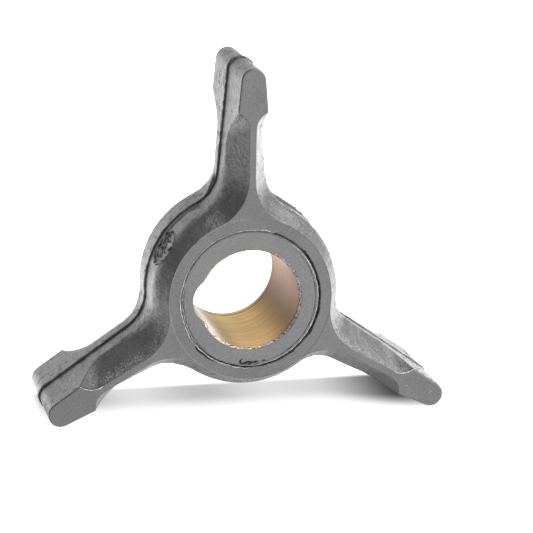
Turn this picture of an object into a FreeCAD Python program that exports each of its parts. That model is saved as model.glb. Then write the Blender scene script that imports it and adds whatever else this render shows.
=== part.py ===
"""Water-pump impeller: a rubber moulding with three vanes on a keyed brass bushing.

Row frame, millimetres: the bore runs along Y through the origin, which lies on the
moulding's parting plane. The front face looks along -Y and +Z is up. One vane points
straight up and the impeller stands on the tips of the other two.
"""
import FreeCAD, Part
import math
import os
from FreeCAD import Vector

# Overall size
IMPELLER_RADIUS = 37.25      # bore axis to the tip of a vane
IMPELLER_WIDTH = 20.2        # front face to back face
VANE_COUNT = 3
FIRST_VANE_DEG = 90.0        # the vane that points up

# Vanes, measured on the straight side walls that the parting plane cuts
TIP_ROUND = 2.0              # radius of the rounded tip
VANE_TAPER_DEG = 5.1         # each side wall leans in towards the tip by this much
VANE_ROOT_ROUND = 7.0        # concave radius between a vane and the hub
HUB_RADIUS = 15.2

# Front and back flats: pad, narrow ridge and ring round the bushing
RIDGE_WIDTH = 1.0            # flat left between the scoops on either side of a vane
FLAT_ROOT_ROUND = 8.0        # concave radius between the ridge and the ring
FLAT_RING_RADIUS = 13.25
PAD_EDGE_ROUND = 0.25        # edge between a flat and the side walls

# Scoops: the sloping hollows between a flat and the side walls
SCOOP_DEPTH = 6.3            # along the bore, from the flat to the side wall of a vane
SCOOP_HUB_DEPTH = 3.4        # the same on the hub, where the side wall comes nearer the flat
SCOOP_END_ROUND = 3.0        # where a scoop ends below the pad, on the flat
SCOOP_END_REACH = 9.75       # tip of the vane back to the centre of that round
SCOOP_DEEP_ROUND = 3.0       # the same round where the scoop meets the side wall
SCOOP_DEEP_SETBACK = 2.55    # centre of the deep round, further in along the vane than the flat's
SCOOP_SOFT_EDGE = 5.5        # radius of the edge between a scoop and the side walls, on the hub
SCOOP_CORNER_EDGE = 0.3      # radius that it fades to along a vane and keeps up to the flat

# Bushing
BORE_RADIUS = 8.0
BUSHING_RADIUS = 11.3
BUSHING_CORNER = 0.25        # chamfer on the outside of each end
BORE_CHAMFER = 0.4
KEYWAY_RADIUS = 3.9          # round-bottomed keyway along the whole bore
KEYWAY_DEPTH = 1.35          # below the wall of the bore
KEYWAY_DEG = 180.0

# Cutting tools run past what they cut
CUTTER_LIFT = 0.06           # share of the scoop's depth above the flat
CUTTER_DROP = 0.08           # share of the scoop's depth below the side wall's edge
CUTTER_SWEEP_DEG = 85.0      # how far round its end a scoop's cutter goes
CUTTER_SPREAD = 8.0          # how far a cutter reaches out beside a pad
OVERRUN = 1.0
TOUCH = 1e-4                 # places nearer than this are the same

half_width = IMPELLER_WIDTH / 2
vane_step_deg = 360.0 / VANE_COUNT
taper = math.radians(VANE_TAPER_DEG)
half_ridge = RIDGE_WIDTH / 2
tip_centre = IMPELLER_RADIUS - TIP_ROUND


class VaneFrame:
    """Places points given along a vane (rho) and across it (tau, anticlockwise)."""

    def __init__(self, angle_deg, y):
        self.cos = math.cos(math.radians(angle_deg))
        self.sin = math.sin(math.radians(angle_deg))
        self.y = y

    def at(self, rho, tau):
        return Vector(rho * self.cos - tau * self.sin, self.y, rho * self.sin + tau * self.cos)


def side_wall_half(rho):
    """Half the vane's thickness between its straight side walls."""
    touch_rho = tip_centre + TIP_ROUND * math.sin(taper)
    touch_tau = TIP_ROUND * math.cos(taper)
    return touch_tau + (touch_rho - rho) * math.tan(taper)


def root_points(ring_radius, root_round, half_at_axis, slope):
    """Tangent points of the round between a ring and a straight side line.

    The line is tau = half_at_axis - rho * tan(slope). Returns the point on the ring, the
    middle of the round and the point on the line, each as (rho, tau).
    """
    offset = half_at_axis + root_round / math.cos(slope)
    reach = ring_radius + root_round
    tan = math.tan(slope)
    a = 1 + tan * tan
    b = -2 * offset * tan
    c = offset * offset - reach * reach
    centre_rho = (-b + math.sqrt(b * b - 4 * a * c)) / (2 * a)
    centre_tau = offset - centre_rho * tan
    on_ring = (centre_rho * ring_radius / reach, centre_tau * ring_radius / reach)
    on_line = (centre_rho - root_round * math.sin(slope), centre_tau - root_round * math.cos(slope))
    start = math.atan2(on_ring[1] - centre_tau, on_ring[0] - centre_rho)
    end = math.atan2(on_line[1] - centre_tau, on_line[0] - centre_rho)
    middle = (start + end) / 2
    on_round = (centre_rho + root_round * math.cos(middle), centre_tau + root_round * math.sin(middle))
    return on_ring, on_round, on_line


def scoop_deep_ring():
    """Ring radius and root round of a scoop at its full depth.

    The ring lies outside the hub, so that the scoop meets the hub at SCOOP_HUB_DEPTH. The
    round leaves the side wall of a vane where the vane's own root round does.
    """
    widening = (HUB_RADIUS - FLAT_RING_RADIUS) / SCOOP_HUB_DEPTH
    ring_radius = FLAT_RING_RADIUS + widening * SCOOP_DEPTH
    root = root_points(HUB_RADIUS, VANE_ROOT_ROUND, side_wall_half(0), taper)[2]
    square = root[0] * root[0] + root[1] * root[1]
    lean = root[0] * math.sin(taper) + root[1] * math.cos(taper)
    return ring_radius, (square - ring_radius * ring_radius) / (2 * (ring_radius - lean))


def line(start, end):
    return Part.LineSegment(start, end).toShape()


def arc(start, middle, end):
    return Part.Arc(start, middle, end).toShape()


def ring_arc(start, end, y):
    """Arc about the bore axis, anticlockwise as the front face shows it."""
    start_angle = math.atan2(start.z, start.x)
    turn = (math.atan2(end.z, end.x) - start_angle) % (2 * math.pi)
    radius = math.hypot(start.x, start.z)
    middle_angle = start_angle + turn / 2
    middle = Vector(radius * math.cos(middle_angle), y, radius * math.sin(middle_angle))
    return arc(start, middle, end)


def side_wall_outline(y):
    """Closed outline of the hub and its vanes on the straight side walls."""
    ring, rounded, root = root_points(HUB_RADIUS, VANE_ROOT_ROUND, side_wall_half(0), taper)
    touch_rho = tip_centre + TIP_ROUND * math.sin(taper)
    touch = (touch_rho, side_wall_half(touch_rho))
    edges = []
    for index in range(VANE_COUNT):
        vane = VaneFrame(FIRST_VANE_DEG + index * vane_step_deg, y)
        following = VaneFrame(FIRST_VANE_DEG + (index + 1) * vane_step_deg, y)
        edges.append(arc(vane.at(ring[0], -ring[1]), vane.at(rounded[0], -rounded[1]),
                         vane.at(root[0], -root[1])))
        edges.append(line(vane.at(root[0], -root[1]), vane.at(touch[0], -touch[1])))
        edges.append(arc(vane.at(touch[0], -touch[1]), vane.at(IMPELLER_RADIUS, 0), vane.at(*touch)))
        edges.append(line(vane.at(*touch), vane.at(*root)))
        edges.append(arc(vane.at(*root), vane.at(*rounded), vane.at(*ring)))
        edges.append(ring_arc(vane.at(*ring), following.at(ring[0], -ring[1]), y))
    return Part.Wire(edges)


def scoop_outline(share, front_y):
    """Outline of the scoop between the first two vanes, at a share of its depth.

    Share 0 is the edge of the flat and share 1 is the edge of a vane's side wall.
    """
    def blend(flat_value, wall_value):
        return flat_value + share * (wall_value - flat_value)

    y = front_y + share * SCOOP_DEPTH
    slope = math.atan(share * math.tan(taper))
    half_at_axis = blend(half_ridge, side_wall_half(0))
    deep_ring_radius, deep_root_round = scoop_deep_ring()
    ring, rounded, root = root_points(blend(FLAT_RING_RADIUS, deep_ring_radius),
                                      blend(FLAT_ROOT_ROUND, deep_root_round), half_at_axis, slope)
    end_round = blend(SCOOP_END_ROUND, SCOOP_DEEP_ROUND)
    end_rho = IMPELLER_RADIUS - SCOOP_END_REACH - share * SCOOP_DEEP_SETBACK
    foot = (end_rho, half_at_axis - end_rho * math.tan(slope))
    centre = (foot[0] + end_round * math.sin(slope), foot[1] + end_round * math.cos(slope))

    def on_end(turn_deg):
        turn = math.radians(turn_deg) - slope
        return (centre[0] + end_round * math.sin(turn), centre[1] - end_round * math.cos(turn))

    def half(vane, side):
        """Edges from the outer corner beside a vane in to its root on the ring."""
        def place(point):
            return vane.at(point[0], side * point[1])

        lip = on_end(CUTTER_SWEEP_DEG)
        corner = (lip[0], lip[1] + CUTTER_SPREAD)
        return [line(place(corner), place(lip)),
                arc(place(lip), place(on_end(CUTTER_SWEEP_DEG / 2)), place(foot)),
                line(place(foot), place(root)),
                arc(place(root), place(rounded), place(ring))]

    first = VaneFrame(FIRST_VANE_DEG, y)
    second = VaneFrame(FIRST_VANE_DEG + vane_step_deg, y)
    inward = half(first, 1)
    outward = half(second, -1)
    edges = list(inward)
    edges.append(ring_arc(first.at(*ring), second.at(ring[0], -ring[1]), y))
    edges.extend(reversed(outward))
    corner_first = inward[0].Vertexes[0].Point
    corner_second = outward[0].Vertexes[0].Point
    edges.append(line(corner_second, corner_first))
    return Part.Wire(Part.sortEdges(edges)[0])


def make_scoop_cutter():
    """Tool for one scoop of the front face, between the first two vanes."""
    outlines = [scoop_outline(share, -half_width) for share in (-CUTTER_LIFT, 1, 1 + CUTTER_DROP)]
    return Part.makeLoft(outlines, True, True)


def around_bore(shape, index):
    turned = shape.copy()
    # A positive turn about -Y is anticlockwise as the front face shows it.
    turned.rotate(Vector(0, 0, 0), Vector(0, -1, 0), index * vane_step_deg)
    return turned


def edge_radii(body, edge):
    """Rounding radii at the two ends of an edge of the moulding, or None to leave it sharp."""
    beside = body.ancestorsOfType(edge, Part.Face)
    scoops = [face for face in beside if isinstance(face.Surface, Part.BSplineSurface)]
    root = root_points(HUB_RADIUS, VANE_ROOT_ROUND, side_wall_half(0), taper)[2]

    def radius_at(parameter):
        place = edge.valueAt(parameter)
        along_vane = math.hypot(place.x, place.z) > math.hypot(*root) + TOUCH
        return SCOOP_CORNER_EDGE if along_vane else SCOOP_SOFT_EDGE

    if any(abs(abs(face.CenterOfMass.y) - half_width) < TOUCH for face in beside):
        return None if scoops else (PAD_EDGE_ROUND, PAD_EDGE_ROUND)
    if len(scoops) != 1:
        return None
    return radius_at(edge.FirstParameter), radius_at(edge.LastParameter)


def round_edges(body):
    """Round the pads' edges and, much more softly, the edges between scoops and side walls."""
    document = FreeCAD.newDocument("impeller")
    hard = document.addObject("Part::Feature", "hard")
    hard.Shape = body
    rounded = document.addObject("Part::Fillet", "rounded")
    rounded.Base = hard
    radii = [(number, edge_radii(body, edge)) for number, edge in enumerate(body.Edges, start=1)]
    rounded.Edges = [(number, *pair) for number, pair in radii if pair]
    document.recompute()
    return rounded.Shape


def make_rubber_body():
    """Ring and vanes, moulded in one, with the scoops on both faces."""
    block = Part.Face(side_wall_outline(-half_width)).extrude(Vector(0, IMPELLER_WIDTH, 0))
    cutter = make_scoop_cutter()
    mirrored = cutter.mirror(Vector(0, 0, 0), Vector(0, 1, 0))
    cutters = []
    for index in range(VANE_COUNT):
        cutters.append(around_bore(cutter, index))
        cutters.append(around_bore(mirrored, index))
    body = round_edges(block.cut(cutters))
    seat = Part.makeCylinder(BUSHING_RADIUS, IMPELLER_WIDTH + 2 * OVERRUN,
                             Vector(0, -half_width - OVERRUN, 0), Vector(0, 1, 0))
    return body.cut(seat)


def make_bushing():
    """Brass bushing bonded into the ring, with a keyway along its bore."""
    start = Vector(0, -half_width, 0)
    along = Vector(0, 1, 0)
    bushing = Part.makeCylinder(BUSHING_RADIUS, IMPELLER_WIDTH, start, along)
    bushing = bushing.makeChamfer(BUSHING_CORNER, [edge for edge in bushing.Edges
                                                   if edge.Curve.TypeId == "Part::GeomCircle"])
    bore = Part.makeCylinder(BORE_RADIUS, IMPELLER_WIDTH, start, along)
    bushing = bushing.cut(bore)
    for side in (-1, 1):
        countersink = Part.makeCone(BORE_RADIUS + BORE_CHAMFER, BORE_RADIUS, BORE_CHAMFER,
                                    Vector(0, side * half_width, 0), Vector(0, -side, 0))
        bushing = bushing.cut(countersink)
    keyway_centre = BORE_RADIUS + KEYWAY_DEPTH - KEYWAY_RADIUS
    angle = math.radians(KEYWAY_DEG)
    keyway = Part.makeCylinder(KEYWAY_RADIUS, IMPELLER_WIDTH + 2 * OVERRUN,
                               Vector(keyway_centre * math.cos(angle), -half_width - OVERRUN,
                                      keyway_centre * math.sin(angle)), along)
    return bushing.cut(keyway)


def export(name, shape):
    solid = shape.Solids[0]
    assert len(shape.Solids) == 1 and solid.isValid(), name
    solid.exportStep("parts/" + name + ".step")
    print(name, "volume mm3", round(solid.Volume, 1), "faces", len(solid.Faces))


def main():
    os.makedirs("parts", exist_ok=True)
    export("rubber_body", make_rubber_body())
    export("brass_bushing", make_bushing())


main()
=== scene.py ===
import bpy
import math
import random
from mathutils import Matrix, Vector, noise
from mathutils.bvhtree import BVHTree


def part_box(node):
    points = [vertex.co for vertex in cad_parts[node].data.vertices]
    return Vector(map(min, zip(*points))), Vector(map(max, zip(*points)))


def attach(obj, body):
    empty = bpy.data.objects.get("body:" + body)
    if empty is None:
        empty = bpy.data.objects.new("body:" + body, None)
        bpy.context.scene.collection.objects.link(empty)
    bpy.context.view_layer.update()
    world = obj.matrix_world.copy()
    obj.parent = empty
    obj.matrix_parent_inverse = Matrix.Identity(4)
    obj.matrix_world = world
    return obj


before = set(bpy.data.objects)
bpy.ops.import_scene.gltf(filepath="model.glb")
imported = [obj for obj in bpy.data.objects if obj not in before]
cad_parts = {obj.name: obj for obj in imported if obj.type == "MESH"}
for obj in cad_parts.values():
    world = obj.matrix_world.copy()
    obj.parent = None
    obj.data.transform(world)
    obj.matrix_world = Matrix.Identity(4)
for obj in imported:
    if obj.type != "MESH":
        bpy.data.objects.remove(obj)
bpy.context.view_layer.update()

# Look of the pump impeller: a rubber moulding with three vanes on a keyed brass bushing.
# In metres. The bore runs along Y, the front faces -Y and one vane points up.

MM = 0.001

# Sizes of the impeller's solids
body_low, body_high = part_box("rubber_body")
IMPELLER_RADIUS = body_high.z
HALF_WIDTH = body_high.y
FLOOR_Z = body_low.z
VANE_COUNT = 3
FIRST_VANE = math.radians(90)
VANE_STEP = math.radians(360 / VANE_COUNT)
TIP_ROUND = 2.0 * MM
VANE_TAPER = math.radians(5.1)
VANE_ROOT_ROUND = 7.0 * MM
HUB_RADIUS = 15.2 * MM
FLAT_RING_RADIUS = 13.25 * MM
BUSHING_RADIUS = 11.3 * MM
BORE_RADIUS = 8.0 * MM
BORE_CHAMFER = 0.4 * MM

# The photograph's camera
CAMERA_PLACE = Vector((-83.65, -374.65, 108.0)) * MM
CAMERA_AIM = Vector((4.765, -0.332, 2.596)) * MM
CAMERA_ROLL = math.radians(1.03)
PICTURE_WIDTH = 533
FOCAL_PIXELS = 2443.9
SENSOR_WIDTH = 36.0
CAMERA_CLIP = (0.01, 20.0)

# Linear greys and colours of the finishes
RUBBER_DARK = 0.095
RUBBER_LIGHT = 0.115
# Grey of the painted shade beside the parting flash, on the pads' left edges and beside the seam on the
# right
PAINTED_SHADE_GREY = 0.03
# Pale of the scuffs, partly scuffed rubber and partly a painted glint
SCUFF_GLINT_GREY = 0.33
STAIN_GREY = 0.035
DUST_GREY = 0.5
FLASH_DARK = 0.045
FLASH_LIGHT = 0.10
# Black of torn rubber shreds, and of the strips of painted shade laid in the seam's gap
TEAR_AND_GAP_SHADE_DARK = 0.005
TEAR_AND_GAP_SHADE_LIGHT = 0.03
# Greys of the gate scar's painted highlights on its crests and rim
TORN_HIGHLIGHT_GREY = 0.24
RIM_HIGHLIGHT_GREY = 0.4
PALE_DARK = 0.25
PALE_LIGHT = 0.6
COAT_DARK = 0.115
COAT_LIGHT = 0.13
BRASS_HIGHLIGHT_CREAM = (0.92, 0.78, 0.60, 1.0)
BRASS_GOLD = (0.86, 0.56, 0.17, 1.0)
BRASS_BROWN = (0.17, 0.08, 0.015, 1.0)
BRASS_PINK = (0.26, 0.14, 0.07, 1.0)
BRASS_ROSE = (0.40, 0.24, 0.14, 1.0)
# Dark of the turned marks, of the chamfers and of the painted shadow line; the warm and cold colours are
# painted glints on the chamfers
EDGE_DARK = (0.10, 0.05, 0.02, 1.0)
GLINT_WARM = (0.95, 0.75, 0.6, 1.0)
GLINT_COLD = (0.62, 0.60, 0.98, 1.0)
BORE_METALLIC = 0.85
BORE_METALLIC_LEFT = 0.35
BORE_ROUGH_LEFT = 0.38
BORE_ROUGH_RIGHT = 0.52

# Patterns on the surfaces: the size of their features, and how far they stand out
GRAIN_FINE = 0.25 * MM
GRAIN_COARSE = 0.9 * MM
MOTTLE_SIZE = 0.35 * MM
PATCH_SIZE = 6.0 * MM
DUST_SPACING = 0.7 * MM
SCUFF_SIZE = 0.36 * MM
STAIN_SIZE = 0.8 * MM
PIT_SIZE = 0.75 * MM
TORN_SIZE = 0.6 * MM
TURNED_SIZE = 4.0 * MM
GLITTER_SIZE = 0.22 * MM
HUE_SIZE = 0.6 * MM
BUMP_DEPTH = 0.05 * MM
PIT_HEIGHT = 14.0
SCUFF_HEIGHT = 3.0
TORN_HEIGHT = 8.0
GLITTER_HEIGHT = 6.0

# Painted shade in a dark band beside the parting flash: how far it reaches on the left and on the right
PARTING_SHADE_WANDER = 0.7 * MM
PARTING_SHADE_LEFT = 1.45 * MM
PARTING_SHADE_RIGHT = 0.85 * MM
PARTING_SHADE_TRIMMED = 0.75

# Pads at the vanes' ends, and the scuffs beside the flats, whose paleness is partly painted glints
PAD_LENGTH = 10.5 * MM
SCUFF_WIDTH = 3.2 * MM

# Colours of the bore, part tarnish and part painted reflection: cream on the lower left as a painted
# highlight, then gold, brown on the right, pink and rose towards the top. Each colour comes in over the
# ones before it, between two places on an axis
BRASS_LAYERS = (("X", -6.5 * MM, -1.0 * MM, BRASS_GOLD),
                ("X", 2.6 * MM, 7.2 * MM, BRASS_BROWN),
                ("Z", -4.5 * MM, 2.0 * MM, BRASS_PINK),
                ("Z", 1.5 * MM, 6.0 * MM, BRASS_ROSE))

# Edge of the grey coat, and a painted shadow line in the bore, by its two distances from the end
COAT_SOFTNESS = 0.04 * MM
SHADOW_LINE = (2.1 * MM, 1.5 * MM)

# Floor: how much it glows in front, behind and far to the left, and in the shade of hub and tips.
# The hub's shade has its two edges here, and each other pair is where a change begins and ends.
FLOOR_SIZE = 6.0
FLOOR_GREY = 0.35
FLOOR_GLOW_BACK = 2.2
FLOOR_GLOW_BACK_LEFT = 0.66
FLOOR_GLOW_FRONT = 0.88
SHADE_GLOW = 0.6
SHADE_GLOW_HUB = 0.38
SHADE_GLOW_TIP = 0.03
SHADE_GLOW_LEFT = 0.25
HUB_SHADE = (-10.0 * MM, 2.0 * MM)
TIP_SHADE_RIGHT = (13.0 * MM, 28.0 * MM)
TIP_SHADE_LEFT = (-28.0 * MM, -16.0 * MM)
LEFT_FALL = (-75.0 * MM, -110.0 * MM)
BEHIND = (6.0 * MM, 10.0 * MM)
SHADE_FRONT = (-6.5 * MM, 2.0 * MM)
SHADE_BACK = (6.3 * MM, 9.8 * MM)
SHADE_LEFT_END = (-34.0 * MM, -30.0 * MM)
SHADE_RIGHT_END = (29.0 * MM, 34.0 * MM)

# Softboxes: degrees round and above the impeller, size in metres and power in watts.
# 0 degrees round is in front of the impeller and 90 is on its right.
SOFTBOXES = (("front_right", 50, 12, 0.45, 12.0),
             ("overhead", 0, 88, 0.45, 3.9),
             ("right_high", 125, 42, 0.45, 2.4),
             ("right_side", 95, 10, 0.45, 0.6),
             ("behind", 180, 15, 0.6, 1.12),
             ("behind_left", -145, 12, 0.45, 1.15))
SOFTBOX_DISTANCE = 0.8
WORLD_GLOW = 0.02

# Flaws of this one moulding: angles round the bore in degrees, places along it and sizes
BACK_SEAM_DARK_RADIUS = 11.3 * MM
BACK_SEAM_PALE_RADIUS = 11.2 * MM
BACK_SEAM_THICK = (0.05 * MM, 0.07 * MM)
BACK_SEAM_WANDER = 0.06 * MM
SEAM_STRIP_HALF_HEIGHT = 0.08 * MM
SCAR_ANGLE = 149.8
SCAR_Y = -4.2 * MM
SCAR_RADIUS = 3.15 * MM
SCAR_HEIGHT = 0.34 * MM
SCAR_GRID = 90
FLAP_START = 101.5
FLAP_END = 109.8
FLAP_Y = (0.7 * MM, 1.9 * MM)
FLAP_THICK = (0.12 * MM, 0.32 * MM)
NIB_ANGLES = (169.5, 51.3)
TIP_BLOBS = ((138, 9), (62, 12))
SMEAR_START = 111.0
SMEAR_END = 148.0
SMEAR_Y = -0.8 * MM
SMEAR_THICK = (0.05 * MM, 1.15 * MM)
CURL_THICKNESS = 0.15 * MM
SHRED_THICKNESS = 0.05 * MM
SHRED_COUNT = 16
SHRED_SEED = 7
NIB_THICKNESS = 0.13 * MM
SCRATCH_THICKNESS = 0.035 * MM
THREAD_END_SHARE = 0.3

# Where the scoops end below the pads
SCOOP_END_REACH = 9.75 * MM
SCOOP_END_ROUND = 3.0 * MM
HALF_RIDGE = 0.5 * MM

# Strips of flash, and the parting flash that stands on the side walls at mid-width
STRIP_STEP = 0.15 * MM
STRIP_SIDES = 6
MERGE_REACH = 0.001 * MM
FLASH_STEP = 0.25 * MM
FLASH_REACH = 0.3 * MM
FLASH_HALF_WIDTH = 0.24 * MM
FLASH_SIDES = 8
RING_MERGE_REACH = 0.01 * MM
FLASH_ROUGHNESS = 0.12 * MM
FLASH_WAVE = 1.1 * MM
TRIM_START = 9.0 * MM
TRIM_END = 12.0 * MM
TRIM_DEPTH = 0.13 * MM


def clear_selection():
    """Leaves edit mode and deselects everything."""
    if bpy.context.object and bpy.context.object.mode != "OBJECT":
        bpy.ops.object.mode_set(mode="OBJECT")
    bpy.ops.object.select_all(action="DESELECT")


def select_only(piece):
    """Makes a piece the selected and active one."""
    clear_selection()
    piece.select_set(True)
    bpy.context.view_layer.objects.active = piece


def weld():
    """Joins the points that coincide in the mesh being edited, and turns its faces outward."""
    bpy.ops.mesh.select_all(action="SELECT")
    bpy.ops.mesh.remove_doubles(threshold=MERGE_REACH)
    bpy.ops.mesh.normals_make_consistent(inside=False)


def settle(piece, name):
    """Names a piece and puts its place and size into its mesh."""
    piece.name = name
    piece.data.name = name
    select_only(piece)
    bpy.ops.object.transform_apply(location=True, rotation=True, scale=True)
    return piece


# Shader building

class Builder:
    """Adds nodes to a material's or a group's tree, and links what it is given."""

    def __init__(self, tree):
        self.tree = tree

    def add(self, kind, inputs=None, **settings):
        """New node with its settings and inputs given."""
        node = self.tree.nodes.new(kind)
        for key, value in settings.items():
            setattr(node, key, value)
        for key, value in (inputs or {}).items():
            self.put(node.inputs[key], value)
        return node

    def put(self, socket, value):
        """Links a socket to an input, or sets the input to a constant."""
        if isinstance(value, bpy.types.NodeSocket):
            self.tree.links.new(value, socket)
        else:
            socket.default_value = value

    def math(self, operation, first, second=0.0, third=0.0):
        """Value worked out from up to three others."""
        inputs = {0: first, 1: second, 2: third}
        return self.add("ShaderNodeMath", inputs, operation=operation).outputs[0]

    def ramp(self, value, low, high, to_low=0.0, to_high=1.0):
        """A smooth step from to_low at low to to_high at high."""
        inputs = {"Value": value, "From Min": low, "From Max": high, "To Min": to_low, "To Max": to_high}
        return self.add("ShaderNodeMapRange", inputs, interpolation_type="SMOOTHSTEP").outputs["Result"]

    def mix(self, share, first, second):
        """The colour first where share is 0, and second where it is 1."""
        node = self.add("ShaderNodeMix", data_type="RGBA")
        self.put(node.inputs[0], share)
        self.put(node.inputs[6], first)
        self.put(node.inputs[7], second)
        return node.outputs[2]

    def blend(self, share, first, second):
        """The value first where share is 0, and second where it is 1."""
        return self.add("ShaderNodeMix", {0: share, 2: first, 3: second}, data_type="FLOAT").outputs[0]

    def noise(self, place, size, detail=2.0, roughness=0.5):
        """Noise whose features are about size across, from 0 to 1."""
        inputs = {"Vector": place, "Scale": 1 / size, "Detail": detail, "Roughness": roughness}
        return self.add("ShaderNodeTexNoise", inputs).outputs["Fac"]

    def stretched(self, place, scale):
        """The place scaled by axis, so that a pattern shrinks along the axes scaled up."""
        return self.add("ShaderNodeMapping", {"Vector": place, "Scale": scale}).outputs["Vector"]

    def band(self, value, start, end, soft):
        """1 where value lies between start and end, with soft edges."""
        return self.math("MULTIPLY", self.ramp(value, start - soft, start + soft),
                         self.ramp(value, end - soft, end + soft, 1.0, 0.0))

    def part_of(self, *masks):
        """1 only where all the masks are 1."""
        result = masks[0]
        for mask in masks[1:]:
            result = self.math("MULTIPLY", result, mask)
        return result


def grey(value):
    """A grey as a colour with alpha."""
    return (value, value, value, 1.0)


def new_group(name, inputs, outputs):
    """Shader group with named sockets: its builder, what it is given and what it puts out."""
    tree = bpy.data.node_groups.new(name, "ShaderNodeTree")
    for socket, kind in inputs.items():
        tree.interface.new_socket(socket, in_out="INPUT", socket_type=kind)
    for socket, kind in outputs.items():
        tree.interface.new_socket(socket, in_out="OUTPUT", socket_type=kind)
    build = Builder(tree)
    return build, build.add("NodeGroupInput").outputs, build.add("NodeGroupOutput").inputs


def make_grain_group():
    """Fine grain of moulded rubber: a bump height, a fine mottle and slow patches."""
    build, given, result = new_group(
        "Moulded grain",
        {"Place": "NodeSocketVector", "Coarse": "NodeSocketFloat"},
        {"Height": "NodeSocketFloat", "Mottle": "NodeSocketFloat", "Patches": "NodeSocketFloat"})
    fine = build.noise(given["Place"], GRAIN_FINE, detail=3.0)
    coarse = build.noise(given["Place"], GRAIN_COARSE, detail=2.0)
    build.put(result["Height"], build.math("MULTIPLY_ADD", coarse, given["Coarse"], fine))
    build.put(result["Mottle"], build.noise(given["Place"], MOTTLE_SIZE, detail=2.0, roughness=0.7))
    build.put(result["Patches"], build.noise(given["Place"], PATCH_SIZE, detail=4.0, roughness=0.6))
    return build.tree


def make_dust_group():
    """Small pale specks, scattered: how many there are goes with Amount."""
    build, given, result = new_group(
        "Dust specks",
        {"Place": "NodeSocketVector", "Amount": "NodeSocketFloat"},
        {"Mask": "NodeSocketFloat"})
    cells = build.add("ShaderNodeTexVoronoi", {"Vector": given["Place"], "Scale": 1 / DUST_SPACING},
                      feature="F1")
    chosen = build.add("ShaderNodeSeparateColor", {"Color": cells.outputs["Color"]}).outputs
    keep = build.math("LESS_THAN", chosen["Red"], given["Amount"])
    size = build.ramp(cells.outputs["Distance"], 0.06, 0.12, 1.0, 0.0)
    strength = build.ramp(chosen["Green"], 0.0, 1.0, 0.35, 1.0)
    build.put(result["Mask"], build.part_of(keep, size, strength))
    return build.tree


def new_material(name):
    """Empty material, its builder and the place on the piece in its own coordinates."""
    material = bpy.data.materials.new(name)
    material.use_nodes = True
    material.node_tree.nodes.clear()
    build = Builder(material.node_tree)
    place = build.add("ShaderNodeTexCoord").outputs["Object"]
    return material, build, place


def finish_material(build, color, height, bump, inputs):
    """Principled surface with a bump, joined to the output."""
    normal = build.add("ShaderNodeBump", {"Height": height, "Strength": bump, "Distance": BUMP_DEPTH})
    surface = build.add("ShaderNodeBsdfPrincipled", inputs)
    build.put(surface.inputs["Base Color"], color)
    build.put(surface.inputs["Normal"], normal.outputs["Normal"])
    output = build.add("ShaderNodeOutputMaterial")
    build.put(output.inputs["Surface"], surface.outputs["BSDF"])
    return surface


def place_skin(build, place, grain, dust, coarse, amount):
    """The grain and the dust of a surface, with its own coarseness and number of specks."""
    skin = build.add("ShaderNodeGroup", node_tree=grain)
    build.put(skin.inputs["Place"], place)
    build.put(skin.inputs["Coarse"], coarse)
    specks = build.add("ShaderNodeGroup", node_tree=dust)
    build.put(specks.inputs["Place"], place)
    build.put(specks.inputs["Amount"], amount)
    return skin.outputs, specks.outputs["Mask"]


def place_axes(build, place):
    """The coordinates, the distance from the bore axis and the distance from the parting plane."""
    axes = build.add("ShaderNodeSeparateXYZ", {"Vector": place}).outputs
    squares = build.math("ADD", build.math("MULTIPLY", axes["X"], axes["X"]),
                         build.math("MULTIPLY", axes["Z"], axes["Z"]))
    return axes, build.math("SQRT", squares), build.math("ABSOLUTE", axes["Y"])


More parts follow.
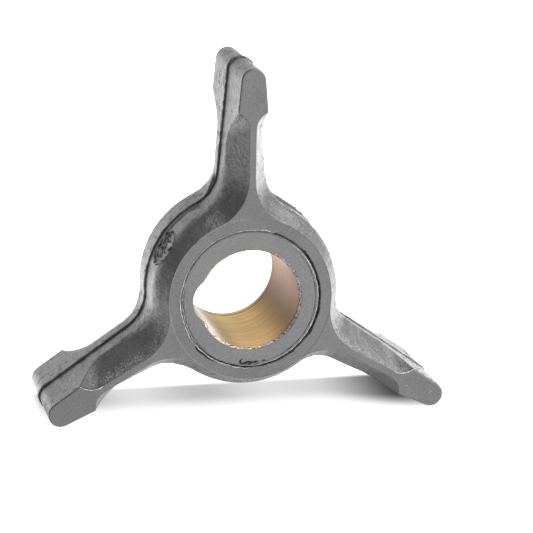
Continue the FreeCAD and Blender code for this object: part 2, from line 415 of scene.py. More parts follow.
def make_rubber(grain, dust):
    """Moulded rubber: painted shade beside the parting line, on the pads' left edges and beside the seam, a
    ring mark with a painted highlight and shade, scuffs with painted glints, and stains.
    """
    material, build, place = new_material("moulded rubber")
    skin, specks = place_skin(build, place, grain, dust, 0.6, 0.10)
    axes, radius, from_line = place_axes(build, place)
    shade = build.ramp(skin["Patches"], 0.25, 0.75, RUBBER_DARK, RUBBER_LIGHT)
    shade = build.math("MULTIPLY", shade, build.ramp(skin["Mottle"], 0.25, 0.75, 0.84, 1.16))

    # Painted shade: a dark band on both sides of the parting flash, wider on the hub's left and narrower
    # where the flash is trimmed
    wander = build.math("MULTIPLY", build.noise(place, 1.5 * MM, detail=4.0, roughness=0.7), PARTING_SHADE_WANDER)
    parting_shade_half = build.ramp(axes["X"], -9.0 * MM, 2.0 * MM, PARTING_SHADE_LEFT, PARTING_SHADE_RIGHT)
    trimmed_share = build.ramp(axes["X"], 6.0 * MM, TRIM_END, 1.0, PARTING_SHADE_TRIMMED)
    parting_shade_half = build.math("MULTIPLY", parting_shade_half, trimmed_share)
    beyond = build.math("SUBTRACT", build.math("ADD", from_line, wander), parting_shade_half)
    shade = build.blend(build.ramp(beyond, -0.1 * MM, 0.1 * MM, 0.92, 0.0), shade, PAINTED_SHADE_GREY)

    # Painted shade along the rounded edges of the pads' flats on the left half
    pad_start = IMPELLER_RADIUS - PAD_LENGTH
    pad_left_side = build.part_of(build.ramp(axes["X"], 0.0, -1.0 * MM),
                                  build.ramp(radius, pad_start, pad_start + 1.0 * MM))
    pad_edge = build.band(from_line, HALF_WIDTH - 0.3 * MM, HALF_WIDTH - 0.04 * MM, 0.03 * MM)
    shade = build.blend(build.part_of(pad_edge, pad_left_side, 0.8), shade, PAINTED_SHADE_GREY)

    on_flat = build.ramp(from_line, HALF_WIDTH - 0.06 * MM, HALF_WIDTH - 0.02 * MM)
    # Painted shade on the flats just outside the seam on the right, where the gap between rubber and
    # bushing lies in shade
    ragged = build.math("MULTIPLY_ADD", build.noise(place, 0.8 * MM, detail=3.0), 0.4 * MM, radius)
    seam = build.ramp(ragged, BUSHING_RADIUS + 0.3 * MM, BUSHING_RADIUS + 0.5 * MM, 0.6, 0.0)
    right_side = build.ramp(axes["X"], 2.0 * MM, 7.0 * MM)
    shade = build.blend(build.part_of(on_flat, seam, right_side), shade, PAINTED_SHADE_GREY)
    # Faint ring mark on the flats, painted lighter on the left as a highlight and darker on the right as
    # shade
    ring = build.band(radius, FLAT_RING_RADIUS - 0.1 * MM, FLAT_RING_RADIUS + 0.06 * MM, 0.05 * MM)
    witness = build.part_of(on_flat, ring, build.ramp(build.noise(place, 3.0 * MM), 0.3, 0.45))
    ring_highlight_and_shade = build.ramp(axes["X"], -2.0 * MM, 2.0 * MM, RUBBER_LIGHT * 1.6, RUBBER_DARK * 0.45)
    shade = build.blend(build.math("MULTIPLY", witness, 0.7), shade, ring_highlight_and_shade)

    off_flat = build.math("SUBTRACT", 1.0, on_flat)
    # Scuffs beside the flats of the lower vanes: a bump, and a pale colour that is partly scuffed rubber
    # and partly painted glints
    streaks = build.noise(build.stretched(place, (1.6, 0.7, 1.6)), SCUFF_SIZE, detail=3.0, roughness=0.75)
    near_flat = build.ramp(from_line, HALF_WIDTH - SCUFF_WIDTH, HALF_WIDTH - 0.3 * MM)
    aside = build.math("ABSOLUTE", axes["X"])
    over_vane = build.math("MULTIPLY_ADD", aside, math.tan(VANE_STEP / 4), axes["Z"])
    scuffs_and_glints = build.part_of(build.ramp(build.math("MULTIPLY_ADD", near_flat, 0.07, streaks), 0.56, 0.66),
                            build.ramp(over_vane, 0.3 * MM, 1.0 * MM),
                            build.ramp(near_flat, 0.1, 0.3), off_flat,
                            build.ramp(axes["Z"], 1.0 * MM, -5.0 * MM),
                            build.ramp(radius, IMPELLER_RADIUS - 9.0 * MM, IMPELLER_RADIUS - 11.0 * MM))
    shade = build.blend(build.math("MULTIPLY", scuffs_and_glints, 0.8), shade, SCUFF_GLINT_GREY)
    stains = build.noise(build.stretched(place, (1.0, 0.5, 0.6)), STAIN_SIZE, detail=4.0, roughness=0.7)
    stained = build.part_of(build.ramp(stains, 0.52, 0.66), off_flat, 0.55)
    shade = build.blend(stained, shade, STAIN_GREY)
    shade = build.blend(build.math("MULTIPLY", specks, 0.6), shade, DUST_GREY)

    pits = build.noise(build.stretched(place, (1.0, 0.6, 0.8)), PIT_SIZE, detail=4.0, roughness=0.65)
    height = build.math("MULTIPLY_ADD", build.math("MULTIPLY", pits, off_flat), PIT_HEIGHT, skin["Height"])
    height = build.math("MULTIPLY_ADD", scuffs_and_glints, SCUFF_HEIGHT, height)
    surface = finish_material(build, shade, height, 0.3, {"Specular IOR Level": 0.5})
    gloss = build.blend(stained, build.ramp(skin["Patches"], 0.2, 0.8, 0.24, 0.34), 0.7)
    build.put(surface.inputs["Roughness"], gloss)
    return material


def make_trimmed_rubber(name, grain, dust, dark, light, gloss):
    """Torn and trimmed rubber of the flash: dark, with a greyer crest here and there."""
    material, build, place = new_material(name)
    skin, specks = place_skin(build, place, grain, dust, 1.0, 0.05)
    from_line = place_axes(build, place)[2]
    shade = build.ramp(skin["Mottle"], 0.3, 0.7, dark, light)
    crest = build.part_of(build.ramp(from_line, 0.06 * MM, 0.16 * MM, 1.0, 0.0),
                          build.ramp(skin["Patches"], 0.45, 0.6))
    shade = build.blend(crest, shade, RUBBER_DARK * 0.7)
    shade = build.blend(build.math("MULTIPLY", specks, 0.4), shade, DUST_GREY)
    finish_material(build, shade, skin["Height"], 0.8, {"Roughness": 0.55, "Specular IOR Level": gloss})
    return material


def make_torn_rubber(grain, dust):
    """Rough skin where the sprue was torn off: painted shade in its hollows and painted highlights on its
    crests and front rim.
    """
    material, build, place = new_material("torn rubber")
    skin, specks = place_skin(build, place, grain, dust, 1.0, 0.45)
    torn = build.noise(place, TORN_SIZE, detail=5.0, roughness=0.65)
    # Painted shade and highlight: black where the bumped relief is low, pale where it is high
    shade = build.ramp(torn, 0.48, 0.6, 0.002, TORN_HIGHLIGHT_GREY)
    center = on_circle(HUB_RADIUS, math.radians(SCAR_ANGLE), SCAR_Y)
    away = build.add("ShaderNodeVectorMath", {0: place, 1: center}, operation="DISTANCE").outputs["Value"]
    axes = place_axes(build, place)[0]
    # Painted highlight on the front side of the raised rim
    rim = build.part_of(build.band(away, SCAR_RADIUS * 0.88, SCAR_RADIUS * 0.97, 0.06 * MM),
                        build.ramp(axes["Y"], SCAR_Y - 0.5 * MM, SCAR_Y - 1.5 * MM),
                        build.ramp(skin["Mottle"], 0.3, 0.5))
    shade = build.blend(build.math("MULTIPLY", rim, 0.85), shade, RIM_HIGHLIGHT_GREY)
    shade = build.blend(build.math("MULTIPLY", specks, 0.7), shade, DUST_GREY)
    height = build.math("MULTIPLY_ADD", torn, TORN_HEIGHT, skin["Height"])
    finish_material(build, shade, height, 0.9, {"Roughness": 0.4, "Specular IOR Level": 0.25})
    return material


def make_pale_flash(grain, dust):
    """Thin flash, pale where it is stretched and where light gets through its edge."""
    material, build, place = new_material("pale thin flash")
    skin = place_skin(build, place, grain, dust, 1.0, 0.10)[0]
    shade = build.ramp(skin["Mottle"], 0.35, 0.65, PALE_DARK, PALE_LIGHT)
    finish_material(build, shade, skin["Height"], 0.8, {"Roughness": 0.35, "Specular IOR Level": 0.5})
    return material


def make_bushing(grain, dust):
    """Bored brass, with the grey bonding coat on both ends, painted glints on the chamfers, a painted
    highlight and reflection in the bore and a painted shadow line near the back.
    """
    material, build, place = new_material("brass with grey ends")
    skin, specks = place_skin(build, place, grain, dust, 0.6, 0.08)
    axes, radius, from_line = place_axes(build, place)
    ragged = build.math("MULTIPLY_ADD", skin["Mottle"], 0.14 * MM, radius)
    coat_edge = BORE_RADIUS + BORE_CHAMFER
    coat = build.ramp(ragged, coat_edge - COAT_SOFTNESS, coat_edge + COAT_SOFTNESS)

    turned = build.noise(build.stretched(place, (0.35, 7.0, 0.35)), TURNED_SIZE, detail=5.0, roughness=0.75)
    # Painted highlight and reflection in the bore, with tarnish: the colours change by place across it
    brass = BRASS_HIGHLIGHT_CREAM
    for axis, begin, full, bore_tint in BRASS_LAYERS:
        brass = build.mix(build.ramp(axes[axis], begin, full), brass, bore_tint)
    brass = build.mix(build.ramp(turned, 0.4, 0.62, 0.3, 0.0), brass, EDGE_DARK)
    # Painted glints on the chamfers: warm and cold sparkles over dark brass, on a real bump
    glitter = build.noise(place, GLITTER_SIZE, detail=3.0, roughness=0.8)
    hue = build.noise(place, HUE_SIZE)
    bright = build.mix(build.ramp(hue, 0.42, 0.58), GLINT_WARM, GLINT_COLD)
    chamfer_with_glints = build.mix(build.ramp(glitter, 0.42, 0.58), EDGE_DARK, bright)
    chamfer = build.ramp(radius, BORE_RADIUS + 0.02 * MM, BORE_RADIUS + 0.08 * MM)
    near_end = build.ramp(from_line, HALF_WIDTH - 0.7 * MM, HALF_WIDTH - 0.4 * MM)
    chamfer = build.part_of(chamfer, near_end)
    brass = build.mix(chamfer, brass, chamfer_with_glints)
    shadow_line = build.band(axes["Y"], HALF_WIDTH - SHADOW_LINE[0], HALF_WIDTH - SHADOW_LINE[1], 0.1 * MM)
    brass = build.mix(build.math("MULTIPLY", shadow_line, 0.75), brass, EDGE_DARK)

    coat_shade = build.ramp(skin["Patches"], 0.25, 0.75, COAT_DARK, COAT_LIGHT)
    coat_shade = build.math("MULTIPLY", coat_shade, build.ramp(skin["Mottle"], 0.25, 0.75, 0.86, 1.14))
    coat_shade = build.blend(build.math("MULTIPLY", specks, 0.5), coat_shade, DUST_GREY)
    color = build.mix(coat, brass, coat_shade)
    sparkle = build.math("MULTIPLY", chamfer, glitter)
    bore_height = build.math("MULTIPLY_ADD", sparkle, GLITTER_HEIGHT, turned)
    height = build.blend(coat, bore_height, skin["Height"])
    surface = finish_material(build, color, height, 0.3, {"Specular IOR Level": 0.5})
    bare = build.math("SUBTRACT", 1.0, coat)
    shine = build.ramp(axes["X"], -6.5 * MM, -1.5 * MM, BORE_METALLIC_LEFT, BORE_METALLIC)
    build.put(surface.inputs["Metallic"], build.math("MULTIPLY", bare, shine))
    bore_gloss = build.ramp(axes["X"], 2.5 * MM, 6.5 * MM, BORE_ROUGH_LEFT, BORE_ROUGH_RIGHT)
    build.put(surface.inputs["Roughness"], build.blend(coat, bore_gloss, 0.34))
    return material


def side_wall_half(rho):
    """Half the vane's thickness between its straight side walls."""
    touch_rho = IMPELLER_RADIUS - TIP_ROUND + TIP_ROUND * math.sin(VANE_TAPER)
    return TIP_ROUND * math.cos(VANE_TAPER) + (touch_rho - rho) * math.tan(VANE_TAPER)


def root_round():
    """Centre of the round between a vane and the hub, and its tangent points, as (rho, tau)."""
    offset = side_wall_half(0) + VANE_ROOT_ROUND / math.cos(VANE_TAPER)
    reach = HUB_RADIUS + VANE_ROOT_ROUND
    slope = math.tan(VANE_TAPER)
    a = 1 + slope * slope
    b = -2 * offset * slope
    c = offset * offset - reach * reach
    rho = (-b + math.sqrt(b * b - 4 * a * c)) / (2 * a)
    tau = offset - rho * slope
    on_ring = Vector((rho, tau)) * HUB_RADIUS / reach
    on_wall = Vector((rho - VANE_ROOT_ROUND * math.sin(VANE_TAPER),
                      tau - VANE_ROOT_ROUND * math.cos(VANE_TAPER)))
    return Vector((rho, tau)), on_ring, on_wall


def in_vane(angle, rho, tau, y=0.0):
    """Place of a point given along a vane and across it."""
    return Vector((rho * math.cos(angle) - tau * math.sin(angle), y,
                   rho * math.sin(angle) + tau * math.cos(angle)))


def spin_on(center, angle):
    """Carries the selected end of a strip round a centre, anticlockwise seen from the front."""
    selected = [v.co for v in edit_vertices() if v.select]
    middle = sum(selected, Vector()) / len(selected)
    length = (middle - center).length * abs(angle)
    steps = max(2, round(length / FLASH_STEP))
    bpy.ops.mesh.spin(steps=steps, angle=angle, center=center, axis=(0, 1, 0), use_auto_merge=False)


def edit_vertices():
    """Points of the mesh that is being edited, with their present selection."""
    piece = bpy.context.object
    piece.update_from_editmode()
    return piece.data.vertices


def make_parting_flash(material):
    """Strip swept round the whole outline, then roughened and pressed flat on the floor."""
    center, on_ring, on_wall = root_round()
    start = FIRST_VANE - VANE_STEP / 2
    ring_turn = VANE_STEP / 2 - math.atan2(on_ring.y, on_ring.x)
    ring_side = on_ring - center
    wall_side = on_wall - center
    root_turn = math.atan2(ring_side.y, ring_side.x) - math.atan2(wall_side.y, wall_side.x)
    root_turn = (root_turn + math.pi) % (2 * math.pi) - math.pi
    tip_center = IMPELLER_RADIUS - TIP_ROUND
    tip_turn = math.pi - 2 * VANE_TAPER
    touch = Vector((tip_center + TIP_ROUND * math.sin(VANE_TAPER), TIP_ROUND * math.cos(VANE_TAPER)))

    clear_selection()
    bpy.ops.mesh.primitive_circle_add(vertices=FLASH_SIDES, radius=1.0, rotation=(0, -start, 0),
                                      location=HUB_RADIUS * Vector((math.cos(start), 0, math.sin(start))))
    piece = bpy.context.object
    piece.scale = (FLASH_REACH, FLASH_HALF_WIDTH, 1.0)
    settle(piece, "parting_flash")
    bpy.ops.object.mode_set(mode="EDIT")
    bpy.ops.mesh.select_all(action="SELECT")
    for index in range(VANE_COUNT):
        vane = FIRST_VANE + index * VANE_STEP
        spin_on(Vector(), ring_turn)
        spin_on(in_vane(vane, center.x, -center.y), -abs(root_turn))
        out = in_vane(vane, touch.x, -touch.y) - in_vane(vane, on_wall.x, -on_wall.y)
        bpy.ops.mesh.extrude_region_move(TRANSFORM_OT_translate={"value": out})
        spin_on(in_vane(vane, tip_center, 0), tip_turn)
        back = in_vane(vane, on_wall.x, on_wall.y) - in_vane(vane, touch.x, touch.y)
        bpy.ops.mesh.extrude_region_move(TRANSFORM_OT_translate={"value": back})
        spin_on(in_vane(vane, center.x, center.y), -abs(root_turn))
        spin_on(Vector(), ring_turn)
    bpy.ops.mesh.select_all(action="SELECT")
    bpy.ops.mesh.remove_doubles(threshold=RING_MERGE_REACH)
    bpy.ops.mesh.select_all(action="DESELECT")
    bpy.ops.mesh.select_mode(type="EDGE")
    bpy.ops.object.mode_set(mode="OBJECT")
    run = out.length
    for edge in piece.data.edges:
        ends = [piece.data.vertices[index].co for index in edge.vertices]
        edge.select = (ends[0] - ends[1]).length > run / 2
    bpy.ops.object.mode_set(mode="EDIT")
    bpy.ops.mesh.subdivide(number_cuts=round(run / FLASH_STEP) - 1)
    bpy.ops.mesh.select_mode(type="VERT")
    bpy.ops.mesh.select_all(action="SELECT")
    bpy.ops.mesh.normals_make_consistent(inside=False)
    bpy.ops.object.mode_set(mode="OBJECT")
    roughen(piece, FLASH_ROUGHNESS, FLASH_WAVE)
    press_on_floor(piece)
    dress(piece, material)
    return piece


def roughen(piece, amount, size):
    """Moves each point along its normal by a wandering amount."""
    normals = [vertex.normal.copy() for vertex in piece.data.vertices]
    for vertex, normal in zip(piece.data.vertices, normals):
        slow = noise.noise(vertex.co / size)
        quick = noise.noise(vertex.co / (size * 0.3) + Vector((7.0, 3.0, 1.0)))
        vertex.co += normal * (amount * (slow + 0.6 * quick) - trimmed_off(vertex.co.x))
    piece.data.update()


def trimmed_off(x):
    """How much closer the flash is cut on the right vane."""
    share = min(1.0, max(0.0, (x - TRIM_START) / (TRIM_END - TRIM_START)))
    return TRIM_DEPTH * share


def press_on_floor(piece):
    """Lifts what would reach below the tips onto the floor."""
    for vertex in piece.data.vertices:
        vertex.co.z = max(vertex.co.z, FLOOR_Z)
    piece.data.update()


def dress(piece, material):
    """Gives a new piece its finish and lets it ride with the impeller."""
    piece.data.materials.clear()
    piece.data.materials.append(material)
    select_only(piece)
    bpy.ops.object.shade_smooth()
    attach(piece, "root")


def on_circle(radius, angle, y):
    """Place at an angle round the bore axis, anticlockwise seen from the front."""
    return Vector((radius * math.cos(angle), y, radius * math.sin(angle)))


def angle_round(center, place):
    """Angle of a place round a centre, anticlockwise seen from the front."""
    offset = place - center
    return math.atan2(offset.z, offset.x)


def sweep_strip(name, center, reach, first, last, y, thick, wander, ragged=1.0):
    """Ragged strip swept round a centre, for flash and for painted shade, thinner to its ends unless it is
    a full ring.

    Reach is the strip's distance from the centre, thick its size across and along the bore,
    wander how far it strays to either side, and ragged how much its thickness changes.
    """
    clear_selection()
    bpy.ops.mesh.primitive_circle_add(vertices=STRIP_SIDES, radius=1.0, rotation=(0, -first, 0),
                                      fill_type="NGON", location=center + on_circle(reach, first, y))
    piece = bpy.context.object
    piece.scale = (thick[0], thick[1], 1.0)
    settle(piece, name)
    full = last - first > 2 * math.pi - 0.01
    steps = max(8, round(reach * (last - first) / STRIP_STEP))
    bpy.ops.object.mode_set(mode="EDIT")
    if full:
        bpy.ops.mesh.delete(type="ONLY_FACE")
    bpy.ops.mesh.select_all(action="SELECT")
    bpy.ops.mesh.spin(steps=steps, angle=last - first, center=center + Vector((0, y, 0)), axis=(0, 1, 0),
                      use_auto_merge=full)
    weld()
    bpy.ops.object.mode_set(mode="OBJECT")
    for vertex in piece.data.vertices:
        angle = angle_round(center, vertex.co)
        share = (angle - first) % (2 * math.pi) / (last - first)
        share = share if share < 1.5 else 0.0
        middle = center + on_circle(reach, angle, y)
        stray = noise.noise(middle / (2.5 * MM)) + 0.6 * noise.noise(middle / (0.7 * MM))
        change = 0.9 * noise.noise(middle / (1.3 * MM) + Vector((5.0, 1.0, 2.0)))
        change += 0.8 * noise.noise(middle / (0.4 * MM))
        swell = max(0.05, 1.0 + ragged * change)
        if not full:
            swell *= min(1.0, 0.1 + 6 * share, 0.1 + 6 * max(0.0, 1 - share))
        vertex.co = middle + (vertex.co - middle) * swell + on_circle(wander * stray, angle, 0)
    piece.data.update()
    return piece


def make_back_seam(dark, pale):
    """Thin torn ring and pale lip where the rubber meets the bushing on the back."""
    y = HALF_WIDTH + 0.01 * MM
    for name, material, radius in (("back_seam_flash", dark, BACK_SEAM_DARK_RADIUS),
                                   ("back_seam_lip", pale, BACK_SEAM_PALE_RADIUS)):
        ring = sweep_strip(name, Vector(), radius, 0.0, 2 * math.pi, y, BACK_SEAM_THICK, BACK_SEAM_WANDER)
        dress(ring, material)


def make_seam_strips(dark, grey_flash, pale):
    """Stretches along the front seam, as they lie on this one moulding: pale lips and grey lines of flash,
    and black strips of painted shade in the seam's gap.

    Each has a radius, two angles in degrees, half its width and how far it wanders, in mm.
    """
    stretches = (("seam_gap_shade_right", dark, 11.4, -46, 56, 0.14, 0.08),
                 ("seam_gap_shade_high_right", dark, 11.38, 50, 74, 0.09, 0.08),
                 ("seam_lip_right", pale, 10.98, -78, 52, 0.06, 0.05),
                 ("seam_shade_line_right", dark, 10.66, -80, 50, 0.03, 0.03),
                 ("seam_gap_shade_low_right", dark, 11.25, -84, -36, 0.18, 0.16),
                 ("seam_lip_top", pale, 11.42, 62, 168, 0.03, 0.12),
                 ("seam_line_top", grey_flash, 11.2, 60, 244, 0.1, 0.02),
                 ("seam_lip_left", pale, 11.42, 150, 216, 0.06, 0.14),
                 ("seam_crumbs_left", pale, 11.1, 160, 226, 0.03, 0.16),
                 ("seam_line_left", grey_flash, 10.85, 165, 236, 0.04, 0.08),
                 ("seam_gap_shade_low_left", dark, 11.6, 219, 243, 0.15, 0.16),
                 ("seam_lip_low_left", pale, 11.38, 214, 268, 0.045, 0.18),
                 ("seam_shade_line_low_left", dark, 11.1, 212, 276, 0.07, 0.14))
    for name, material, radius, first, last, half_wide, wander in stretches:
        strip = sweep_strip(name, Vector(), radius * MM, math.radians(first), math.radians(last),
                            -HALF_WIDTH, (half_wide * MM, SEAM_STRIP_HALF_HEIGHT), wander * MM)
        dress(strip, material)


def make_root_flap(material):
    """Second lip that splits off the parting line where the top vane leaves the hub."""
    center = root_round()[0]
    middle = in_vane(FIRST_VANE, center.x, center.y)
    reach = VANE_ROOT_ROUND - 0.02 * MM
    ends = []
    for degrees in (FLAP_START, FLAP_END):
        direction = on_circle(1.0, math.radians(degrees), 0)
        nearest = middle.dot(direction)
        half = math.sqrt(max(0.0, nearest * nearest - middle.length_squared + reach * reach))
        ends.append(angle_round(middle, direction * (nearest - half)) % (2 * math.pi))
    first, last = sorted(ends)
    flap = sweep_strip("root_flap", middle, reach, first, last, FLAP_Y[0], FLAP_THICK, 0.0)
    for vertex in flap.data.vertices:
        share = (angle_round(middle, vertex.co) % (2 * math.pi) - first) / (last - first)
        vertex.co.y += (FLAP_Y[1] - FLAP_Y[0]) * share
    dress(flap, material)


def hub_radius_at(surface, angle, y):
    """Distance from the bore axis to the moulding's outside."""
    outward = on_circle(1.0, angle, 0)
    place = surface.ray_cast(outward * 2 * HUB_RADIUS + Vector((0, y, 0)), -outward)[0]
    return math.hypot(place.x, place.z)


def make_flash_smear(material):
    """Dark strip that lies forward of the parting line on the hub, from the root flap to the gate scar."""
    film = sweep_strip("dark_hub_strip", Vector(), HUB_RADIUS - 0.01 * MM, math.radians(SMEAR_START),
                       math.radians(SMEAR_END), SMEAR_Y, SMEAR_THICK, 0.0, ragged=0.3)
    dress(film, material)


def make_gate_scar(material):
    """Torn disc on the hub where the moulding was broken off its sprue."""
    surface = BVHTree.FromObject(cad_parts["rubber_body"], bpy.context.evaluated_depsgraph_get())
    clear_selection()
    bpy.ops.mesh.primitive_grid_add(x_subdivisions=SCAR_GRID, y_subdivisions=SCAR_GRID, size=2.0)
    piece = settle(bpy.context.object, "gate_scar")
    for vertex in piece.data.vertices:
        across, up = vertex.co.x, vertex.co.y
        disc = Vector((across * math.sqrt(1 - up * up / 2), up * math.sqrt(1 - across * across / 2), 0))
        ragged = 1 + 0.05 * noise.noise(disc.normalized() * 2.5) if disc.length > 0 else 1
        torn = 0.7 * noise.noise(disc * 2.4) + noise.noise(disc * 5.0 + Vector((3, 5, 7)))
        torn += 0.4 * noise.noise(disc * 11.0)
        rim = (0.6 - 0.6 * disc.y) * math.exp(-((disc.length - 0.9) / 0.06) ** 2)
        height = SCAR_HEIGHT * (0.4 + 0.9 * torn + rim)
        sunk = 0.5 * MM * max(0.0, disc.length - 0.94) / 0.06
        height = max(height, 0.03 * MM) - sunk
        angle = math.radians(SCAR_ANGLE) + disc.x * ragged * SCAR_RADIUS / HUB_RADIUS
        y = SCAR_Y + disc.y * ragged * SCAR_RADIUS
        vertex.co = on_circle(hub_radius_at(surface, angle, y) + height, angle, y)
    face_outward(piece)
    dress(piece, material)


def face_outward(piece):
    """Turns the faces of an open patch away from the bore axis."""
    piece.data.update()
    faces = piece.data.polygons
    outward = sum(face.normal.x * face.center.x + face.normal.z * face.center.z for face in faces)
    if outward < 0:
        select_only(piece)
        bpy.ops.object.mode_set(mode="EDIT")
        bpy.ops.mesh.select_all(action="SELECT")
        bpy.ops.mesh.flip_normals()
        bpy.ops.object.mode_set(mode="OBJECT")


def make_threads(name, runs, thickness, material):
    """Fine shreds or scratches: each run is a list of places that a round thread follows."""
    curve = bpy.data.curves.new(name, "CURVE")
    curve.dimensions = "3D"
    curve.bevel_depth = thickness
    curve.bevel_resolution = 1
    curve.resolution_u = 4
    curve.use_fill_caps = True
    for run in runs:
        spline = curve.splines.new("BEZIER")
        spline.bezier_points.add(len(run) - 1)
        for point, place in zip(spline.bezier_points, run):
            point.co = place
            point.handle_left_type = "AUTO"
            point.handle_right_type = "AUTO"
        spline.bezier_points[0].radius = THREAD_END_SHARE
        spline.bezier_points[-1].radius = THREAD_END_SHARE
    holder = bpy.data.objects.new(name, curve)
    bpy.context.scene.collection.objects.link(holder)
    select_only(holder)
    bpy.ops.object.convert(target="MESH")
    piece = settle(bpy.context.object, name)
    bpy.ops.object.mode_set(mode="EDIT")
    weld()
    bpy.ops.object.mode_set(mode="OBJECT")
    dress(piece, material)


def make_coat_shreds(material):
    """Black curl and a few shreds of rubber stuck to the coat below the bore."""
    y = -HALF_WIDTH - 0.05 * MM
    curl = ((-1.25, -9.85), (-1.62, -10.3), (-1.1, -10.62), (-0.3, -10.37), (0.6, -10.5), (1.25, -10.32))
    stub = ((-1.3, -11.12), (-0.8, -11.2), (-0.3, -11.1))
    runs = [[Vector((x * MM, y, z * MM)) for x, z in run] for run in (curl, stub)]
    make_threads("coat_curl", runs, CURL_THICKNESS, material)
    rng = random.Random(SHRED_SEED)
    shreds = []
    for _ in range(SHRED_COUNT):
        angle = math.radians(rng.uniform(-95, -78))
        radius = rng.uniform(10.35, 11.1) * MM
        lean = rng.uniform(-0.4, 0.4)
        length = rng.uniform(0.3, 1.0) * MM
        start = on_circle(radius, angle, y)
        step = Vector((math.cos(lean), 0, math.sin(lean))) * length
        bend = Vector((0, 0, rng.uniform(-0.15, 0.15) * MM))
        shreds.append([start, start + step * 0.5 + bend, start + step])
    make_threads("coat_shreds", shreds, SHRED_THICKNESS, material)


def make_parting_nibs(material):
    """Little stubs left on the parting line."""
    runs = []
    for degrees in NIB_ANGLES:
        angle = math.radians(degrees)
        runs.append([on_circle(HUB_RADIUS - 0.1 * MM, angle, 0.1 * MM),
                     on_circle(HUB_RADIUS + 0.25 * MM, angle + 0.01, 0.2 * MM),
                     on_circle(HUB_RADIUS + 0.5 * MM, angle + 0.02, 0.2 * MM)])
    make_threads("parting_nibs", runs, NIB_THICKNESS, material)


def make_tip_blobs(dark, pale):
    """Two torn blobs on the parting line at the top vane's tip, each with a pale speck."""
    tip_center = Vector((0, 0, IMPELLER_RADIUS - TIP_ROUND))
    for name, material, thickness, y in (("tip_blobs", dark, 0.2 * MM, 0.0),
                                         ("tip_specks", pale, 0.06 * MM, -0.25 * MM)):
        runs = []
        for degrees, spread in TIP_BLOBS:
            angles = [math.radians(degrees + turn) for turn in (-spread, 0, spread)]
            runs.append([tip_center + on_circle(TIP_ROUND + 0.1 * MM, angle, y) for angle in angles])
        make_threads(name, runs, thickness, material)


def make_flat_scratches(material):
    """Short pale scratches and nicks on the pads, by their middle, direction and length."""
    y = -HALF_WIDTH
    marks = ((30.4, -17.2, 38, 0.75), (26.3, -15.9, -35, 0.4), (27.6, -17.3, 60, 0.45),
             (26.9, -16.7, -50, 0.35), (25.3, -14.9, -40, 0.4), (-0.4, 26.5, 70, 0.3),
             (1.1, 27.9, 30, 0.25), (0.8, 31.5, 80, 0.25), (-22.2, -14.9, 60, 0.35),
             (-10.2, 9.3, 40, 0.3), (-27.0, -13.8, -20, 0.3), (10.3, -12.4, 20, 0.3))
    runs = []
    for x, z, degrees, length in marks:
        angle = math.radians(degrees)
        half = Vector((math.cos(angle), 0, math.sin(angle))) * length * MM / 2
        middle = Vector((x * MM, y, z * MM))
        runs.append([middle - half, middle + Vector((0, -0.01 * MM, 0)), middle + half])
    make_threads("flat_scratches", runs, SCRATCH_THICKNESS, material)


def make_pad_lips(material):
    """Pale ragged lip along the round where a scoop ends below each lower pad."""
    for name, vane_degrees, side, thick, wander in (("left_pad_lip", 210, -1, 0.11, 0.16),
                                                    ("right_pad_lip", -30, 1, 0.06, 0.04)):
        vane = math.radians(vane_degrees)
        rho = IMPELLER_RADIUS - SCOOP_END_REACH
        tau = side * (HALF_RIDGE + SCOOP_END_ROUND)
        middle = in_vane(vane, rho, tau)
        toward_axis = vane - side * math.pi / 2
        ends = sorted((toward_axis - side * 0.1, toward_axis + side * math.radians(72)))
        lip = sweep_strip(name, middle, SCOOP_END_ROUND, ends[0], ends[1], -HALF_WIDTH,
                          (thick * MM, thick * MM), wander * MM)
        dress(lip, material)


# Stage

def make_camera():
    """Camera that stands where the photograph's stood."""
    camera = bpy.data.cameras.new("photo camera")
    camera.sensor_width = SENSOR_WIDTH
    camera.lens = FOCAL_PIXELS / PICTURE_WIDTH * SENSOR_WIDTH
    camera.clip_start, camera.clip_end = CAMERA_CLIP
    holder = bpy.data.objects.new("photo camera", camera)
    turn = (CAMERA_AIM - CAMERA_PLACE).to_track_quat("-Z", "Y").to_matrix()
    holder.matrix_world = (Matrix.Translation(CAMERA_PLACE)
                           @ (turn @ Matrix.Rotation(CAMERA_ROLL, 3, "Z")).to_4x4())
    bpy.context.scene.collection.objects.link(holder)
    bpy.context.scene.camera = holder


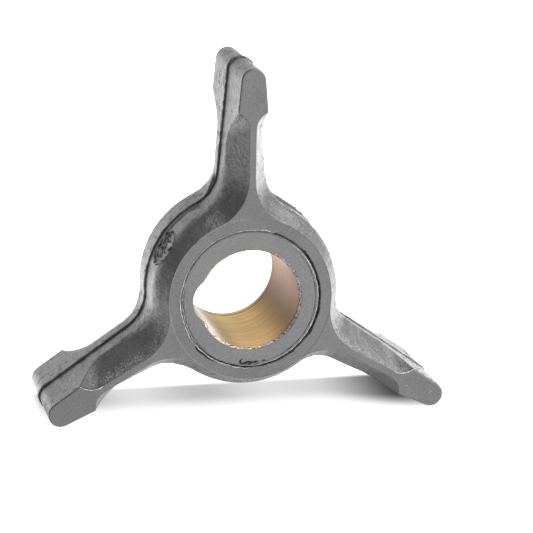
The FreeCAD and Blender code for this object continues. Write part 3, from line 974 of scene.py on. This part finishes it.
def make_floor():
    """White floor that glows, but for the soft shade under the impeller."""
    clear_selection()
    bpy.ops.mesh.primitive_plane_add(size=FLOOR_SIZE, location=(0, 0, FLOOR_Z))
    floor = settle(bpy.context.object, "studio_floor")
    material, build, place = new_material("white floor")
    axes = build.add("ShaderNodeSeparateXYZ", {"Vector": place}).outputs
    hub_shade = build.band(axes["X"], *HUB_SHADE, 6.0 * MM)
    right_shade = build.ramp(axes["X"], *TIP_SHADE_RIGHT)
    left_shade = build.ramp(axes["X"], *TIP_SHADE_LEFT, 1.0, 0.0)
    shade = build.blend(hub_shade, SHADE_GLOW, SHADE_GLOW_HUB)
    shade = build.blend(right_shade, shade, SHADE_GLOW_TIP)
    shade = build.blend(left_shade, shade, SHADE_GLOW_LEFT)
    forward = build.math("MULTIPLY_ADD", right_shade, 5.0 * MM, axes["Y"])
    in_shade = build.part_of(build.ramp(forward, *SHADE_FRONT),
                             build.ramp(axes["Y"], *SHADE_BACK, 1.0, 0.0),
                             build.ramp(axes["X"], *SHADE_LEFT_END),
                             build.ramp(axes["X"], *SHADE_RIGHT_END, 1.0, 0.0))
    behind = build.ramp(axes["Y"], *BEHIND)
    back_glow = build.ramp(axes["X"], *LEFT_FALL, FLOOR_GLOW_BACK, FLOOR_GLOW_BACK_LEFT)
    outside = build.blend(behind, FLOOR_GLOW_FRONT, back_glow)
    glow = build.add("ShaderNodeEmission", {"Strength": build.blend(in_shade, outside, shade)})
    matt = build.add("ShaderNodeBsdfDiffuse", {"Color": grey(FLOOR_GREY)})
    both = build.add("ShaderNodeAddShader", {0: glow.outputs[0], 1: matt.outputs[0]})
    output = build.add("ShaderNodeOutputMaterial")
    build.put(output.inputs["Surface"], both.outputs[0])
    floor.data.materials.append(material)


def add_softbox(name, azimuth, elevation, size, power):
    """Square area light that faces the impeller, placed by its direction in degrees."""
    light = bpy.data.lights.new(name, "AREA")
    light.shape = "SQUARE"
    light.size = size
    light.energy = power
    holder = bpy.data.objects.new(name, light)
    turn = math.radians(azimuth)
    rise = math.radians(elevation)
    place = Vector((math.sin(turn) * math.cos(rise), -math.cos(turn) * math.cos(rise), math.sin(rise)))
    holder.location = place * SOFTBOX_DISTANCE
    holder.rotation_euler = (-place).to_track_quat("-Z", "Y").to_euler()
    bpy.context.scene.collection.objects.link(holder)


def make_lights():
    """Softboxes in a faintly lit white room."""
    world = bpy.data.worlds.new("studio")
    world.use_nodes = True
    background = world.node_tree.nodes["Background"]
    background.inputs["Color"].default_value = grey(1.0)
    background.inputs["Strength"].default_value = WORLD_GLOW
    bpy.context.scene.world = world
    for softbox in SOFTBOXES:
        add_softbox(*softbox)
    bpy.context.scene.view_settings.view_transform = "Standard"


grain_group = make_grain_group()
dust_group = make_dust_group()
rubber = make_rubber(grain_group, dust_group)
trimmed = make_trimmed_rubber("trimmed flash", grain_group, dust_group, FLASH_DARK, FLASH_LIGHT, 0.4)
# The black rubber is also the painted shade in the seam's gap
black = make_trimmed_rubber("black torn rubber and gap shade", grain_group, dust_group, TEAR_AND_GAP_SHADE_DARK, TEAR_AND_GAP_SHADE_LIGHT, 0.08)
torn = make_torn_rubber(grain_group, dust_group)
pale = make_pale_flash(grain_group, dust_group)
bushing_finish = make_bushing(grain_group, dust_group)
for node_name, finish in (("rubber_body", rubber), ("brass_bushing", bushing_finish)):
    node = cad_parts[node_name]
    node.data.materials.clear()
    node.data.materials.append(finish)

make_camera()
make_floor()
make_lights()
make_parting_flash(trimmed)
make_back_seam(trimmed, pale)
make_seam_strips(black, trimmed, pale)
make_root_flap(trimmed)
make_flash_smear(trimmed)
make_gate_scar(torn)
make_coat_shreds(black)
make_parting_nibs(trimmed)
make_tip_blobs(trimmed, pale)
make_flat_scratches(pale)
make_pad_lips(pale)
